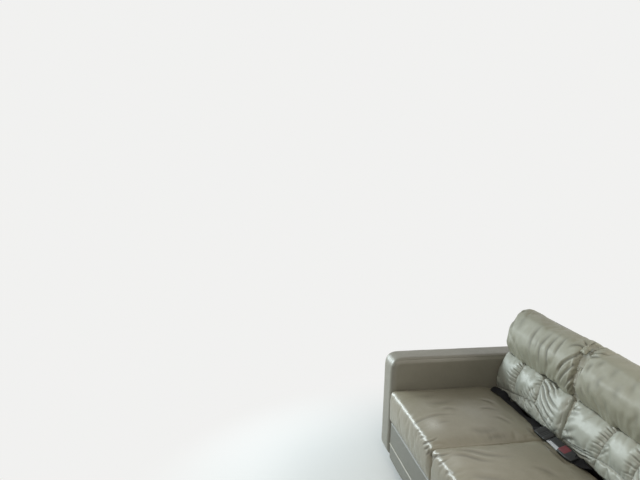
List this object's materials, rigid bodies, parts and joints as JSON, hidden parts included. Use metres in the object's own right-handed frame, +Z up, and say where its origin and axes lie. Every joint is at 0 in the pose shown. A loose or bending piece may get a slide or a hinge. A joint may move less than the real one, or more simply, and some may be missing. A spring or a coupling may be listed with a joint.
{
  "type": "motorhome sofa bed",
  "caption": "Light leather jackknife sofa bed for a motorhome: the seat slides forward on a fixed base while the hinged back folds flat, between rounded arms, with lap belts.",
  "frame": {"origin": "on the floor, below the middle of the whole sofa with its back upright", "axes": "+X along the sofa to the right as seen from the front, -Y to the front where the seat slides out, +Z up"},
  "size_m": [1.895, 0.8132, 0.8521],
  "materials": {
    "seat_leather": "soft taupe leather, slightly glossy",
    "back_leather": "soft pale leather, slightly glossy",
    "arm_leather": "soft taupe leather, slightly glossy",
    "base_leather": "taupe leather stretched over board",
    "plywood": "raw plywood",
    "black_board": "black painted board",
    "black_steel": "black powder coat",
    "zinc_steel": "zinc plated",
    "webbing": "black woven webbing",
    "tongue_steel": "bright plated steel",
    "buckle_plastic": "black moulded plastic",
    "button_plastic": "dark red moulded plastic"
  },
  "bodies": {
    "root": {"floor_rail_outer_left": "black_steel", "floor_rail_inner_left": "black_steel", "floor_rail_inner_right": "black_steel", "floor_rail_outer_right": "black_steel", "toe_kick_board": "black_board", "base_front_panel": "base_leather", "base_end_left": "plywood", "base_end_right": "plywood", "base_rib_left": "plywood", "base_rib_right": "plywood", "base_rear_board": "plywood", "slide_track_left": "zinc_steel", "slide_track_right": "zinc_steel", "arm_left": "arm_leather", "arm_right": "arm_leather"},
    "seat": {"seat_frame_rail_front": "black_steel", "seat_frame_rail_rear": "black_steel", "seat_frame_cross_outer_left": "black_steel", "seat_frame_cross_inner_left": "black_steel", "seat_frame_cross_inner_right": "black_steel", "seat_frame_cross_outer_right": "black_steel", "seat_deck": "plywood", "seat_cushion_left": "seat_leather", "seat_cushion_middle": "seat_leather", "seat_cushion_right": "seat_leather", "seat_runner_left": "zinc_steel", "seat_runner_right": "zinc_steel", "hinge_plate_seat_left": "zinc_steel", "hinge_plate_seat_right": "zinc_steel", "hinge_pin_left": "zinc_steel", "hinge_pin_right": "zinc_steel", "belt_webbing_left": "webbing", "belt_webbing_right": "webbing", "belt_tongue_left": "tongue_steel", "belt_tongue_right": "tongue_steel", "belt_buckle_left": "buckle_plastic", "belt_buckle_right": "buckle_plastic", "belt_button_left": "button_plastic", "belt_button_right": "button_plastic", "belt_anchors": "zinc_steel"},
    "back": {"back_frame_rail_lower": "black_steel", "back_frame_rail_upper": "black_steel", "back_frame_stile_outer_left": "black_steel", "back_frame_stile_inner_left": "black_steel", "back_frame_stile_inner_right": "black_steel", "back_frame_stile_outer_right": "black_steel", "back_panel": "plywood", "back_cushion_left": "back_leather", "back_cushion_middle": "back_leather", "back_cushion_right": "back_leather", "bolster_left": "back_leather", "bolster_middle": "back_leather", "bolster_right": "back_leather", "hinge_plate_back_left": "zinc_steel", "hinge_plate_back_right": "zinc_steel"}
  },
  "joints": [
    {"name": "seat_slide", "type": "slide", "parent": "root", "child": "seat", "axis": [0, -1, 0], "range_m": [0, 0.32]},
    {"name": "back_fold", "type": "hinge", "parent": "seat", "child": "back", "pos_m": [0, 0.20017, 0.385], "axis": [-1, 0, 0], "range_deg": [0, 75]}
  ],
  "couplings": [
    {"joint": "back_fold", "follows": "seat_slide", "rad_per_m": 4.09}
  ]
}
